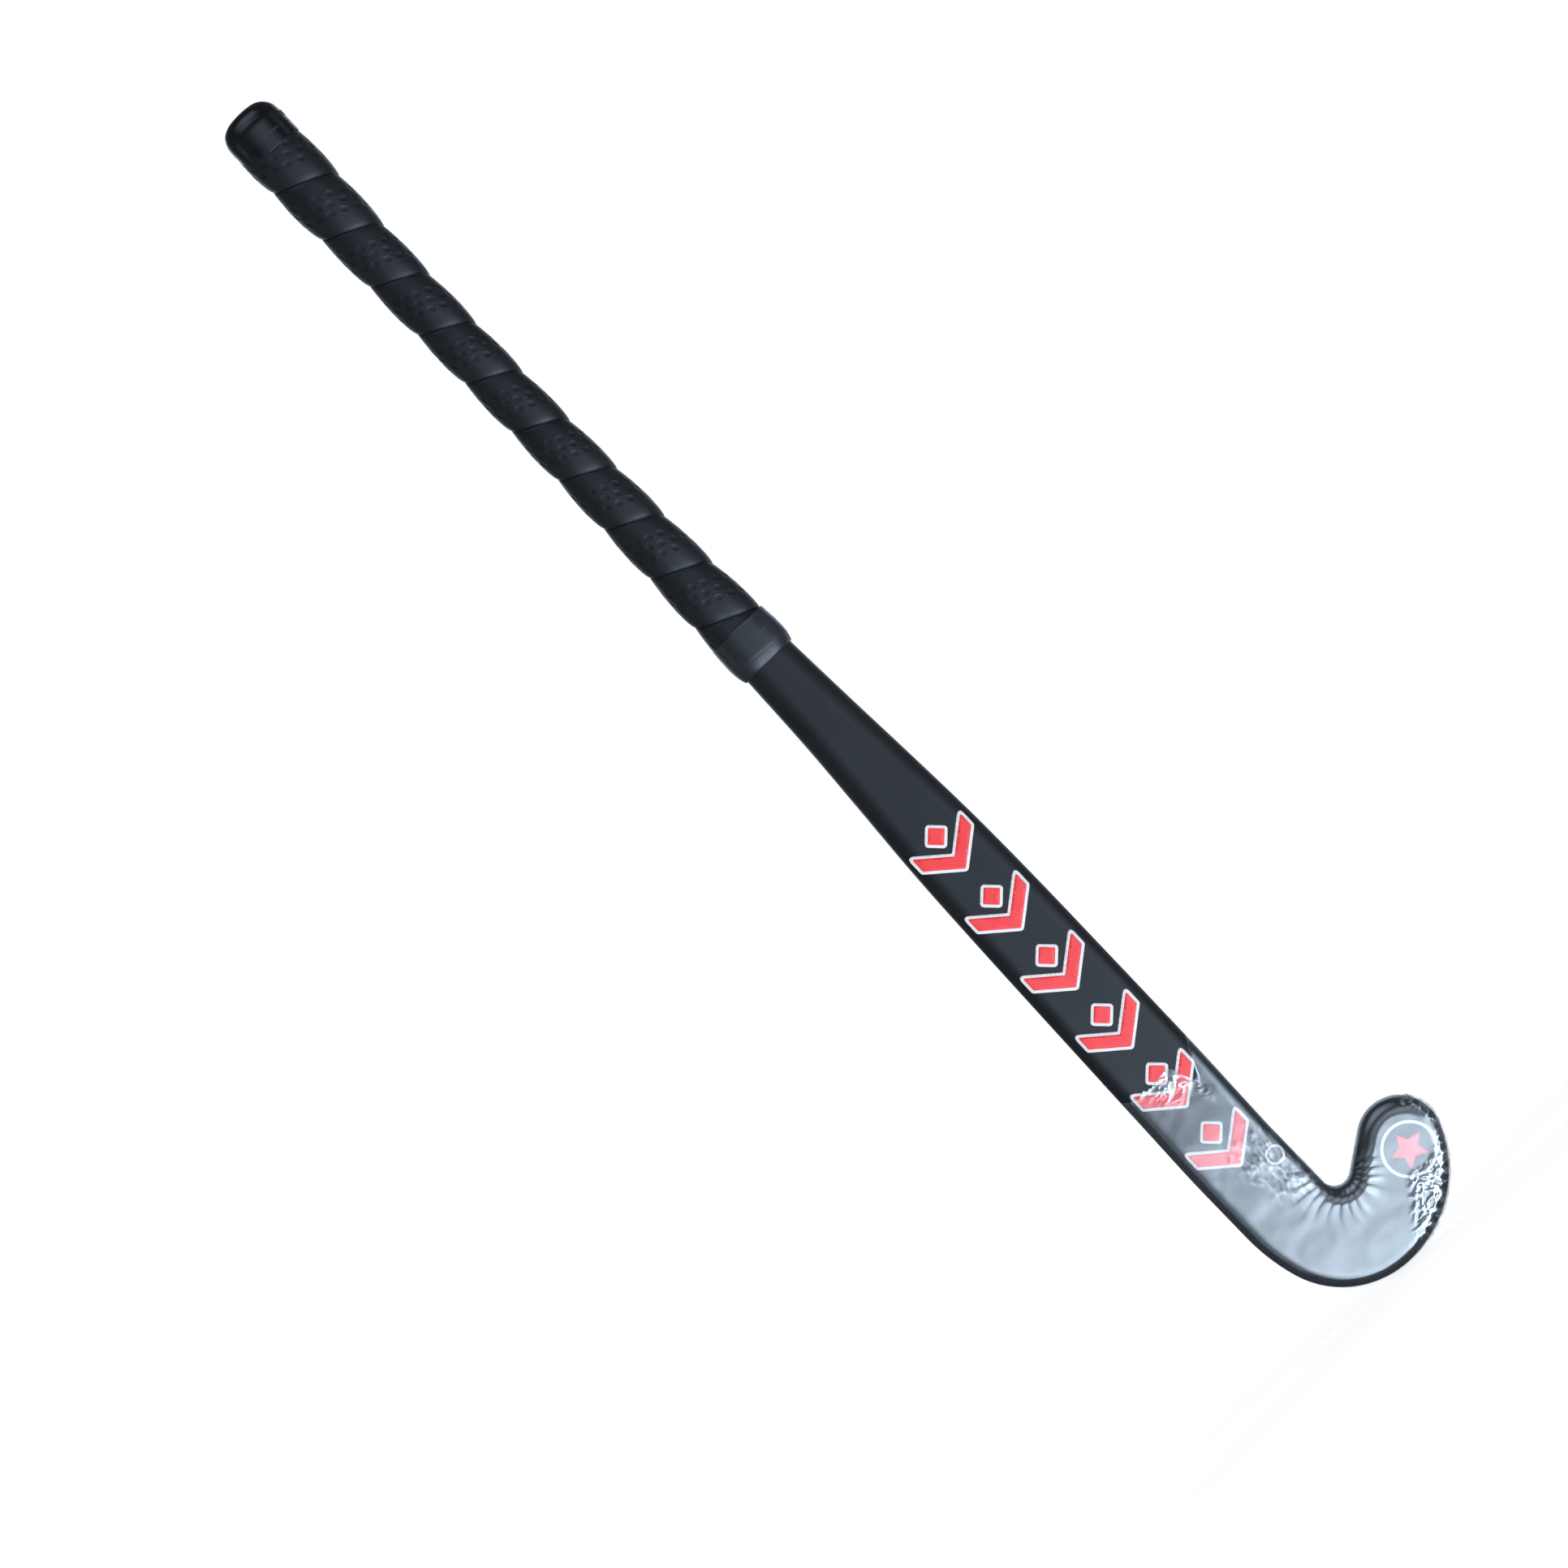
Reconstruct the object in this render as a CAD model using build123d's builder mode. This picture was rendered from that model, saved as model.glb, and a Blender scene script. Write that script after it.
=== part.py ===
from build123d import *
from math import cos, radians, sin
import os

# Field hockey stick, standing on its head with the handle's axis upright. The flat playing face looks
# along -Y, the rounded back along +Y, the toe points along -X and the heel along +X. The origin is at
# the middle of the whole stick's footprint, level with its lowest point. Millimetres.
#
# Places along the stick are given as a distance "up" from the sole, measured along its centre line.
# The centre line is straight through the head, bends gently back, and is upright through the handle.

os.makedirs("parts", exist_ok=True)

# Length and bow
STICK_LENGTH = 914.0
BOW_START = 120.0
BOW_END = 430.0
BOW_ANGLE = 7.0
BOW_RADIUS = (BOW_END - BOW_START) / radians(BOW_ANGLE)

# Head outline, clockwise from the heel edge: tangent arcs, each with its radius and its turn in degrees
HEAD_TOP = 112.0
HEEL_EDGE = 31.7
TOE_EDGE = 20.95
UPPER_HEEL_RADIUS = 118.0
UPPER_HEEL_TURN = 16.7
HEEL_RADIUS = 55.2
HEEL_TURN = 90.0 - UPPER_HEEL_TURN
SOLE_RADIUS = 69.3
SOLE_TURN = 69.4
TOE_RADIUS = 23.7
TOE_TURN = 146.6
INNER_STRAIGHT = 24.5
THROAT_RADIUS = 8.9
THROAT_TURN = UPPER_HEEL_TURN + HEEL_TURN + SOLE_TURN + TOE_TURN - 180.0
HEEL_ARC_TOP = HEEL_RADIUS + (UPPER_HEEL_RADIUS - HEEL_RADIUS) * sin(radians(UPPER_HEEL_TURN))
TOE_CENTRE = (-68.83, 53.26)

# Section of the head: flat face with small rounds, back with large ones
HEAD_THICKNESS = 20.0
FACE_ROUND = 3.5
BACK_ROUND = 9.0

# Sections of the shaft and handle: up, heel edge, toe edge, thickness, face round, back round
STATIONS = [
    (HEAD_TOP, HEEL_EDGE, TOE_EDGE, HEAD_THICKNESS, FACE_ROUND, BACK_ROUND),
    (122.0, 31.5, 21.2, HEAD_THICKNESS, FACE_ROUND, BACK_ROUND),
    (160.0, 30.4, 22.1, 20.0, 3.5, 9.0),
    (205.0, 29.2, 22.8, 20.2, 3.6, 9.2),
    (250.0, 27.9, 23.2, 20.6, 3.8, 9.5),
    (300.0, 26.3, 23.5, 21.2, 4.4, 10.0),
    (350.0, 24.2, 23.0, 22.0, 5.6, 10.6),
    (400.0, 20.8, 21.0, 23.2, 7.6, 11.4),
    (440.0, 18.2, 19.0, 24.4, 9.6, 12.0),
    (480.0, 16.6, 17.2, 25.6, 11.6, 12.6),
    (520.0, 15.4, 15.6, 26.2, 12.6, 12.9),
    (560.0, 14.1, 14.1, 26.2, 12.8, 12.9),
    (620.0, 12.9, 12.9, 25.4, 12.4, 12.4),
    (700.0, 12.2, 12.2, 24.4, 12.0, 12.0),
    (770.0, 12.6, 12.6, 25.2, 12.4, 12.4),
    (815.0, 13.4, 13.4, 26.8, 13.2, 13.2),
    (855.0, 15.1, 15.1, 30.2, 14.9, 14.9),
    (885.0, 15.7, 15.7, 31.4, 15.5, 15.5),
    (908.0, 15.7, 15.7, 31.4, 15.5, 15.5),
]

# Layers, as distances out from the composite's surface
WALL = 2.4
BOND_GAP = 0.05
WHITE_LAYER = (0.02, 0.15)
RED_LAYER = (0.17, 0.30)
FILM_LAYER = (0.35, 0.65)
UNDERLAY_LAYER = (0.05, 0.35)
GRIP_LAYER = (0.40, 2.30)
COLLAR_LAYER = (0.05, 2.85)
TAPE_GAP = 0.05

# How far apart the head's and the shaft's edges may lie where the two become one surface
JOIN_TOLERANCE = 0.005

# Places along the stick
SHAFT_CORE_TOP = 420.0
RIB_RANGE = (424.0, 880.0)
RIB_THICKNESS = 1.6
PLUG_BOTTOM = 884.0
GRIP_RANGE = (500.0, 900.0)
COLLAR_RANGE = (491.0, 516.0)
BUTT_TAPE_BOTTOM = 884.0
BUTT_RADIUS = 18.6
BUTT_ROUND = 8.0
FILM_TOP = 185.0
FILM_TOP_SLOPE = 25.0

# Printed transfers, drawn flat: heights up the stick and widths across it
GRAPHIC_MIDDLES = ((112.0, 5.4), (375.0, 0.4))
STROKE = 9.0
OUTLINE = 1.6
CHEVRON_COUNT = 6
CHEVRON_START = 108.0
CHEVRON_PITCH = 45.0
CHEVRON_HALF_WIDTH = 18.5
CHEVRON_RISE = 15.0
DIAMOND_HALF = 6.5
STRIPE_COUNT = 5
STRIPE_START = 119.0
STRIPE_PITCH = 54.0
STRIPE_HALF_WIDTH = 18.5
STRIPE_SLOPE = 0.4
STRIPE_STEP = 17.0
STRIPE_SPLIT = 2.8
MARK_COUNT = 11
MARK_START = 415.0
MARK_PITCH = 7.2
MARK_SIZE = (7.0, 3.4)
ROUND_MARK_CENTRE = (-12.0, 98.0)
ROUND_MARK_RADIUS = 5.6
ROUND_MARK_STROKE = 1.1
BADGE_CENTRE = (-68.0, 47.5)
BADGE_RADIUS = 16.4
BADGE_STROKE = 1.8
EMBLEM_POINTS = 5
EMBLEM_RADII = (11.5, 5.5)

# Where the sole and the handle's axis stand in the stick's own frame
FILM = FILM_LAYER[1]
HALF_HEAD = HEAD_THICKNESS / 2
TILT_SIN = sin(radians(BOW_ANGLE))
TILT_COS = cos(radians(BOW_ANGLE))
SOLE_Z = BACK_ROUND * (1 - TILT_COS) + (HALF_HEAD - BACK_ROUND) * TILT_SIN + FILM
BOW_TOP_Z = SOLE_Z + BOW_START * TILT_COS + BOW_RADIUS * TILT_SIN
SOLE_SET_BACK = BOW_RADIUS * (1 - TILT_COS) + BOW_START * TILT_SIN
FACE_AT_SOLE = FACE_ROUND + (HALF_HEAD - FACE_ROUND) * TILT_COS - FACE_ROUND * TILT_SIN
FRONT_REACH = SOLE_SET_BACK + FACE_AT_SOLE + FILM
AXIS_Y = (FRONT_REACH - BUTT_RADIUS) / 2
AXIS_X = (TOE_RADIUS - TOE_CENTRE[0] - HEEL_EDGE) / 2


def plane_across(up):
    """The plane across the stick at a place along it: its x to the heel, its y to the back."""
    tilt = radians(BOW_ANGLE) * min(1, max(0, (BOW_END - up) / (BOW_END - BOW_START)))
    straight = max(0, BOW_START - up)
    y = AXIS_Y - BOW_RADIUS * (1 - cos(tilt)) - straight * sin(tilt)
    z = BOW_TOP_Z + max(0, up - BOW_END) - BOW_RADIUS * sin(tilt) - straight * cos(tilt)
    return Plane(origin=(AXIS_X, y, z), x_dir=(1, 0, 0), z_dir=(0, sin(tilt), cos(tilt)))


# The head's mid plane: x to the heel, y up the stick, and its normal out of the playing face
HEAD_PLANE = Plane(
    origin=plane_across(0).origin,
    x_dir=(1, 0, 0),
    z_dir=(0, -TILT_COS, TILT_SIN),
)
# The plane that the long transfers are drawn on: as the head's, but along the bowed shaft and the middle
# of its width, which drifts towards the heel on the way down
GRAPHIC_LOW, GRAPHIC_HIGH = (
    plane_across(up).from_local_coords((middle, 0, 0)) for up, middle in GRAPHIC_MIDDLES
)
GRAPHIC_UP = (GRAPHIC_HIGH - GRAPHIC_LOW).normalized()
GRAPHIC_OUT = Vector(0, -GRAPHIC_UP.Z, GRAPHIC_UP.Y)
GRAPHIC_PLANE = Plane(
    origin=GRAPHIC_LOW - GRAPHIC_UP * GRAPHIC_MIDDLES[0][0],
    x_dir=GRAPHIC_UP.cross(GRAPHIC_OUT),
    z_dir=GRAPHIC_OUT,
)
TO_FACE = 30.0
TO_BACK = -TO_FACE


def shaft(out):
    """Shaft and handle, solid, with its surface this far out from the composite's."""
    with BuildPart() as body:
        for up, heel_edge, toe_edge, thickness, face_round, back_round in STATIONS:
            front, heel, toe = -thickness / 2 - out, heel_edge + out, -toe_edge - out
            small, large = face_round + out, back_round + out
            with BuildSketch(plane_across(up)):
                with BuildLine():
                    edge = Line((toe + small, front), (heel - small, front))
                    edge = JernArc(edge @ 1, (1, 0), small, 90)
                    edge = Line(edge @ 1, (heel, -front - large))
                    edge = JernArc(edge @ 1, (0, 1), large, 90)
                    edge = Line(edge @ 1, (toe + large, -front))
                    edge = JernArc(edge @ 1, (-1, 0), large, 90)
                    edge = Line(edge @ 1, (toe, front + small))
                    JernArc(edge @ 1, (0, -1), small, 90)
                make_face()
        loft()
    return body.part


def head(out):
    """Hooked head, solid, with its surface this far out from the composite's."""
    half = HALF_HEAD + out
    with BuildPart() as body:
        with BuildSketch(HEAD_PLANE.offset(-half)):
            with BuildLine():
                edge = Line((HEEL_EDGE + out, HEAD_TOP), (HEEL_EDGE + out, HEEL_ARC_TOP))
                for radius, turn in (
                    (UPPER_HEEL_RADIUS, UPPER_HEEL_TURN),
                    (HEEL_RADIUS, HEEL_TURN),
                    (SOLE_RADIUS, SOLE_TURN),
                    (TOE_RADIUS, TOE_TURN),
                ):
                    edge = JernArc(edge @ 1, edge % 1, radius + out, -turn)
                edge = Line(edge @ 1, edge @ 1 + (edge % 1) * INNER_STRAIGHT)
                edge = JernArc(edge @ 1, edge % 1, THROAT_RADIUS - out, THROAT_TURN)
                edge = Line(edge @ 1, ((edge @ 1).X, HEAD_TOP))
                Line(edge @ 1, (HEEL_EDGE + out, HEAD_TOP))
            make_face()
        extrude(amount=2 * half)
        for sign, radius in ((-1, BACK_ROUND + out), (1, FACE_ROUND + out)):
            rim = []
            for side_edge in body.edges():
                middle = HEAD_PLANE.to_local_coords(side_edge.center())
                if abs(middle.Z - sign * half) < 0.01 and middle.Y < HEAD_TOP - 0.01:
                    rim.append(side_edge)
            fillet(rim, radius)
    return body.part


def whole(out):
    """Head and shaft as one solid, with its surface this far out from the composite's."""
    return head(out).fuse(shaft(out), tol=JOIN_TOLERANCE)


def stretch(solid, low, high):
    """The stretch of a solid between two places along the stick."""
    above = split(solid, bisect_by=plane_across(low), keep=Keep.TOP, mode=Mode.PRIVATE)
    return split(above, bisect_by=plane_across(high), keep=Keep.BOTTOM, mode=Mode.PRIVATE)


outer = whole(0.0)
inner = whole(-WALL)

# Fibre-composite moulding: handle, shaft and head in one hollow piece, open at the butt
with BuildPart() as composite_shell:
    add(outer)
    add(inner, mode=Mode.SUBTRACT)
composite_shell.part.label = "composite_shell"
export_step(composite_shell.part, "parts/composite_shell.step")

# Foam that fills the head
with BuildPart() as head_core:
    add(head(-WALL - BOND_GAP))
head_core.part.label = "head_core"
export_step(head_core.part, "parts/head_core.step")

handle_bore = shaft(-WALL - BOND_GAP)

# Foam that fills the lower shaft
with BuildPart() as shaft_core:
    add(stretch(handle_bore, HEAD_TOP, SHAFT_CORE_TOP))
shaft_core.part.label = "shaft_core"
export_step(shaft_core.part, "parts/shaft_core.step")

# Wall between the two hollow chambers of the handle
with BuildPart() as handle_rib:
    add(stretch(handle_bore, *RIB_RANGE))
    with BuildSketch(Plane.XY):
        with Locations((AXIS_X, AXIS_Y)):
            Rectangle(RIB_THICKNESS, 4 * BUTT_RADIUS)
    extrude(amount=STICK_LENGTH, mode=Mode.INTERSECT)
handle_rib.part.label = "handle_rib"
export_step(handle_rib.part, "parts/handle_rib.step")

# Plug that closes the butt end
with BuildPart() as butt_plug:
    add(stretch(handle_bore, PLUG_BOTTOM, STICK_LENGTH))
butt_plug.part.label = "butt_plug"
export_step(butt_plug.part, "parts/butt_plug.step")

bare_handle = shaft(COLLAR_LAYER[0])
gripped_handle = shaft(GRIP_LAYER[1] + TAPE_GAP)

# Thin adhesive foam under the grip tape
with BuildPart() as grip_underlay:
    add(stretch(shaft(UNDERLAY_LAYER[1]), *GRIP_RANGE))
    add(shaft(UNDERLAY_LAYER[0]), mode=Mode.SUBTRACT)
grip_underlay.part.label = "grip_underlay"
export_step(grip_underlay.part, "parts/grip_underlay.step")

# Padded grip tape, as the sleeve that its turns fill
with BuildPart() as grip_tape:
    add(stretch(shaft(GRIP_LAYER[1]), *GRIP_RANGE))
    add(shaft(GRIP_LAYER[0]), mode=Mode.SUBTRACT)
grip_tape.part.label = "grip_tape"
export_step(grip_tape.part, "parts/grip_tape.step")

# Finishing tape over the grip's lower end: it closes onto the bare shaft below the grip
with BuildPart() as collar_tape:
    add(stretch(shaft(COLLAR_LAYER[1]), *COLLAR_RANGE))
    add(stretch(bare_handle, COLLAR_RANGE[0] - 1, COLLAR_RANGE[1]), mode=Mode.SUBTRACT)
    add(stretch(gripped_handle, GRIP_RANGE[0], COLLAR_RANGE[1] + 1), mode=Mode.SUBTRACT)
collar_tape.part.label = "collar_tape"
export_step(collar_tape.part, "parts/collar_tape.step")

# Tape wrapped over the butt: a straight cylinder with a rounded end
with BuildPart() as butt_tape:
    with BuildSketch(plane_across(BUTT_TAPE_BOTTOM)):
        Circle(BUTT_RADIUS)
    extrude(amount=STICK_LENGTH - BUTT_TAPE_BOTTOM)
    fillet(butt_tape.edges().group_by(Axis.Z)[-1], BUTT_ROUND)
    add(stretch(bare_handle, BUTT_TAPE_BOTTOM - 1, STICK_LENGTH), mode=Mode.SUBTRACT)
    add(stretch(gripped_handle, BUTT_TAPE_BOTTOM - 1, GRIP_RANGE[1]), mode=Mode.SUBTRACT)
butt_tape.part.label = "butt_tape"
export_step(butt_tape.part, "parts/butt_tape.step")

# Clear shrink film over the head and the lower shaft, cut off at a slant
film_cut = plane_across(FILM_TOP).rotated((FILM_TOP_SLOPE, 0, 0))
with BuildPart() as head_film:
    add(whole(FILM_LAYER[1]))
    add(whole(FILM_LAYER[0]), mode=Mode.SUBTRACT)
    split(bisect_by=film_cut, keep=Keep.BOTTOM)
head_film.part.label = "head_film"
export_step(head_film.part, "parts/head_film.step")

white_outer = whole(WHITE_LAYER[1])
white_inner = whole(WHITE_LAYER[0])
red_outer = whole(RED_LAYER[1])
red_inner = whole(RED_LAYER[0])


def chevrons():
    """Outlines of the back's chevrons, which point to the head, each with a diamond in its notch."""
    outlines = []
    for i in range(CHEVRON_COUNT):
        tip = CHEVRON_START + i * CHEVRON_PITCH
        side = tip + CHEVRON_RISE
        wide, notch, top = CHEVRON_HALF_WIDTH, tip + STROKE, side + STROKE
        outlines.append([(0, tip), (wide, side), (wide, top), (0, notch), (-wide, top), (-wide, side)])
        half = DIAMOND_HALF
        outlines.append([(0, top - half), (half, top), (0, top + half), (-half, top)])
    return outlines


def stripes():
    """Outlines of the face's slanted stripes: a whole one, then a split one above it."""
    outlines = []
    for i in range(STRIPE_COUNT):
        base = STRIPE_START + i * STRIPE_PITCH
        wide = STRIPE_HALF_WIDTH
        for start, end, up in (
            (-wide, wide, base),
            (-wide, -STRIPE_SPLIT, base + STRIPE_STEP),
            (STRIPE_SPLIT, wide, base + STRIPE_STEP),
        ):
            low, high = up + STRIPE_SLOPE * start, up + STRIPE_SLOPE * end
            outlines.append([(start, low), (end, high), (end, high + STROKE), (start, low + STROKE)])
    return outlines


def transfer(outlines, grow, outer_skin, inner_skin, reach):
    """A printed layer on the stick's surface, with its outlines grown by this much."""
    with BuildPart() as layer:
        with BuildSketch(GRAPHIC_PLANE):
            for outline in outlines:
                with BuildLine():
                    Polyline(*outline, close=True)
                make_face()
            if grow:
                offset(amount=grow)
        extrude(amount=reach)
        add(outer_skin, mode=Mode.INTERSECT)
        add(inner_skin, mode=Mode.SUBTRACT)
    return layer.part


# White ground and red layer of the back's transfer
with BuildPart() as back_graphic_white:
    add(transfer(chevrons(), OUTLINE, white_outer, white_inner, TO_BACK))
back_graphic_white.part.label = "back_graphic_white"
export_step(back_graphic_white.part, "parts/back_graphic_white.step")

with BuildPart() as back_graphic_red:
    add(transfer(chevrons(), 0, red_outer, red_inner, TO_BACK))
back_graphic_red.part.label = "back_graphic_red"
export_step(back_graphic_red.part, "parts/back_graphic_red.step")

# White ground and red layer of the face's transfer
with BuildPart() as face_graphic_white:
    add(transfer(stripes(), OUTLINE, white_outer, white_inner, TO_FACE))
face_graphic_white.part.label = "face_graphic_white"
export_step(face_graphic_white.part, "parts/face_graphic_white.step")

with BuildPart() as face_graphic_red:
    add(transfer(stripes(), 0, red_outer, red_inner, TO_FACE))
face_graphic_red.part.label = "face_graphic_red"
export_step(face_graphic_red.part, "parts/face_graphic_red.step")

# Small white marks in a row below the grip, on the face
with BuildPart() as face_small_marks:
    with BuildSketch(GRAPHIC_PLANE):
        for i in range(MARK_COUNT):
            with Locations((0, MARK_START + i * MARK_PITCH)):
                Rectangle(*MARK_SIZE)
    extrude(amount=TO_FACE)
    add(white_outer, mode=Mode.INTERSECT)
    add(white_inner, mode=Mode.SUBTRACT)
face_small_marks.part.label = "face_small_marks"
export_step(face_small_marks.part, "parts/face_small_marks.step")

# Small white ring between the back's transfer and the throat
with BuildPart() as back_round_mark:
    with BuildSketch(HEAD_PLANE):
        with Locations(ROUND_MARK_CENTRE):
            Circle(ROUND_MARK_RADIUS)
            Circle(ROUND_MARK_RADIUS - ROUND_MARK_STROKE, mode=Mode.SUBTRACT)
    extrude(amount=TO_BACK)
    add(white_outer, mode=Mode.INTERSECT)
    add(white_inner, mode=Mode.SUBTRACT)
back_round_mark.part.label = "back_round_mark"
export_step(back_round_mark.part, "parts/back_round_mark.step")

# Badge on the toe's back: a white ring round a red star
with BuildPart() as toe_badge_ring:
    with BuildSketch(HEAD_PLANE):
        with Locations(BADGE_CENTRE):
            Circle(BADGE_RADIUS)
            Circle(BADGE_RADIUS - BADGE_STROKE, mode=Mode.SUBTRACT)
    extrude(amount=TO_BACK)
    add(white_outer, mode=Mode.INTERSECT)
    add(white_inner, mode=Mode.SUBTRACT)
toe_badge_ring.part.label = "toe_badge_ring"
export_step(toe_badge_ring.part, "parts/toe_badge_ring.step")

with BuildPart() as toe_badge_emblem:
    with BuildSketch(HEAD_PLANE):
        with BuildLine():
            star = []
            for i in range(2 * EMBLEM_POINTS):
                radius = EMBLEM_RADII[i % 2]
                turn = radians(90.0 + i * 180.0 / EMBLEM_POINTS)
                star.append((BADGE_CENTRE[0] + radius * cos(turn), BADGE_CENTRE[1] + radius * sin(turn)))
            Polyline(*star, close=True)
        make_face()
    extrude(amount=TO_BACK)
    add(red_outer, mode=Mode.INTERSECT)
    add(red_inner, mode=Mode.SUBTRACT)
toe_badge_emblem.part.label = "toe_badge_emblem"
export_step(toe_badge_emblem.part, "parts/toe_badge_emblem.step")
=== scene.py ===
import math

import bmesh
import bpy
import numpy as np
from mathutils import Matrix, Vector, noise


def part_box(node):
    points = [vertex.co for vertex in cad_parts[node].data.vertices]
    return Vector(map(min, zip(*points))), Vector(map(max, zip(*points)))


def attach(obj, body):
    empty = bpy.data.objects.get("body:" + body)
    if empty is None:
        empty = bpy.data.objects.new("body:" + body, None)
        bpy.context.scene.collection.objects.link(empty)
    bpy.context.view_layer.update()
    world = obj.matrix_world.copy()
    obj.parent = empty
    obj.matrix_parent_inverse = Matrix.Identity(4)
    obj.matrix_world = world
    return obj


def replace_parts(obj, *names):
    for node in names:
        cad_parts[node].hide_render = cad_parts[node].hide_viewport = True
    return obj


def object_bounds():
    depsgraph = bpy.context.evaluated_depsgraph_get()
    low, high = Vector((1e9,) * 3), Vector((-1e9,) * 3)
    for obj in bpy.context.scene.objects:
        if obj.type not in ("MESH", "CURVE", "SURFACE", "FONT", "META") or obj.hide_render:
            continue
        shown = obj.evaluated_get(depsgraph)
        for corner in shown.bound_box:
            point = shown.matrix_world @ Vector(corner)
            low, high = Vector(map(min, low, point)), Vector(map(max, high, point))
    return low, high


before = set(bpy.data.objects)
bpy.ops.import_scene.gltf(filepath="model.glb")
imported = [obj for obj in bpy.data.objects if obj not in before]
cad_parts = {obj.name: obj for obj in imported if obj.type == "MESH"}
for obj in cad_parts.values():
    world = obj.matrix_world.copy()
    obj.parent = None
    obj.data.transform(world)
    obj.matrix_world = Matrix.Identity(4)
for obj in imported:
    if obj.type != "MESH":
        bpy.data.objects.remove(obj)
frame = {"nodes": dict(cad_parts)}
cad_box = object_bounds()

# Field hockey stick standing on its head. A place on it is (across, up, back): across to the heel, up
# along the centre line from the sole, back out of the rounded side, all in millimetres. The numbers
# repeat the CAD source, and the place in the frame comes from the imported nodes.
MM = 0.001
LENGTH = 914.0
BOW_START, BOW_END, BOW_ANGLE = 120.0, 430.0, math.radians(7.0)
BOW_RADIUS = (BOW_END - BOW_START) / BOW_ANGLE
HEAD_TOP, HEAD_THICKNESS, FACE_ROUND, BACK_ROUND = 112.0, 20.0, 3.5, 9.0
THROAT = np.array([-29.85, 65.23])
THROAT_RADIUS, THROAT_TURN = 8.9, 126.0
TOE_START, TOE_RADIUS = 24.5, 23.7
SHELL_TOP = 908.0
WALL = 2.4
WHITE_OUT, RED_OUT, PRINT_THICKNESS = 0.15, 0.30, 0.12
FILM_OUT, FILM_THICKNESS = 0.62, 0.22
GRIP_LOW, GRIP_HIGH = 500.0, 900.0
COLLAR_LOW = 491.0
GRIP_THICKNESS, COLLAR_THICKNESS, BUTT_THICKNESS = 0.9, 0.5, 0.4
BUTT_LOW, BUTT_RADIUS, DOME_START = 885.5, 18.55, 900.5
SHELL_FINENESS, FILM_FINENESS = 1.6, 4.2

# Sections of the shaft: up, heel edge, toe edge, thickness, face round, back round
STATIONS = np.array(
    [
        (102, 31.7, 20.95, 20, 3.5, 9),
        (112, 31.7, 20.95, 20, 3.5, 9),
        (122, 31.5, 21.2, 20, 3.5, 9),
        (160, 30.4, 22.1, 20, 3.5, 9),
        (205, 29.2, 22.8, 20.2, 3.6, 9.2),
        (250, 27.9, 23.2, 20.6, 3.8, 9.5),
        (300, 26.3, 23.5, 21.2, 4.4, 10),
        (350, 24.2, 23, 22, 5.6, 10.6),
        (400, 20.8, 21, 23.2, 7.6, 11.4),
        (440, 18.2, 19, 24.4, 9.6, 12),
        (480, 16.6, 17.2, 25.6, 11.6, 12.6),
        (520, 15.4, 15.6, 26.2, 12.6, 12.9),
        (560, 14.1, 14.1, 26.2, 12.8, 12.9),
        (620, 12.9, 12.9, 25.4, 12.4, 12.4),
        (700, 12.2, 12.2, 24.4, 12, 12),
        (770, 12.6, 12.6, 25.2, 12.4, 12.4),
        (815, 13.4, 13.4, 26.8, 13.2, 13.2),
        (855, 15.1, 15.1, 30.2, 14.9, 14.9),
        (885, 15.7, 15.7, 31.4, 15.5, 15.5),
        (914, 15.7, 15.7, 31.4, 15.5, 15.5),
    ],
    float,
)

butt_low, butt_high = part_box("butt_tape")
AXIS_X = (butt_low.x + butt_high.x) / 2 / MM
AXIS_Y = (butt_low.y + butt_high.y) / 2 / MM
BOW_TOP_Z = butt_high.z / MM - (LENGTH - BOW_END)


# ---------------------------------------------------------------- places on the stick


def place(across, up, back):
    """Points in the row frame, in metres, of places on the stick."""
    across, up, back = np.broadcast_arrays(*(np.asarray(a, float) for a in (across, up, back)))
    tilt = BOW_ANGLE * np.clip((BOW_END - up) / (BOW_END - BOW_START), 0, 1)
    straight = np.maximum(0, BOW_START - up)
    y = AXIS_Y - BOW_RADIUS * (1 - np.cos(tilt)) - straight * np.sin(tilt)
    z = BOW_TOP_Z + np.maximum(0, up - BOW_END) - BOW_RADIUS * np.sin(tilt) - straight * np.cos(tilt)
    return np.stack((AXIS_X + across, y + back * np.cos(tilt), z - back * np.sin(tilt)), -1) * MM


def section(up):
    """Heel edge, toe edge, thickness, face round and back round at a place along the stick."""
    ups = STATIONS[:, 0]
    up = np.clip(np.asarray(up, float), ups[0], ups[-1])
    i = np.clip(np.searchsorted(ups, up, side="right") - 1, 0, len(ups) - 2)
    gap = ups[i + 1] - ups[i]
    t = (up - ups[i]) / gap
    found = []
    for column in range(1, 6):
        v = STATIONS[:, column]
        slope = np.gradient(v, ups)
        found.append(
            (1 + 2 * t) * (1 - t) ** 2 * v[i]
            + t * (1 - t) ** 2 * gap * slope[i]
            + t * t * (3 - 2 * t) * v[i + 1]
            + t * t * (t - 1) * gap * slope[i + 1]
        )
    return found


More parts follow.
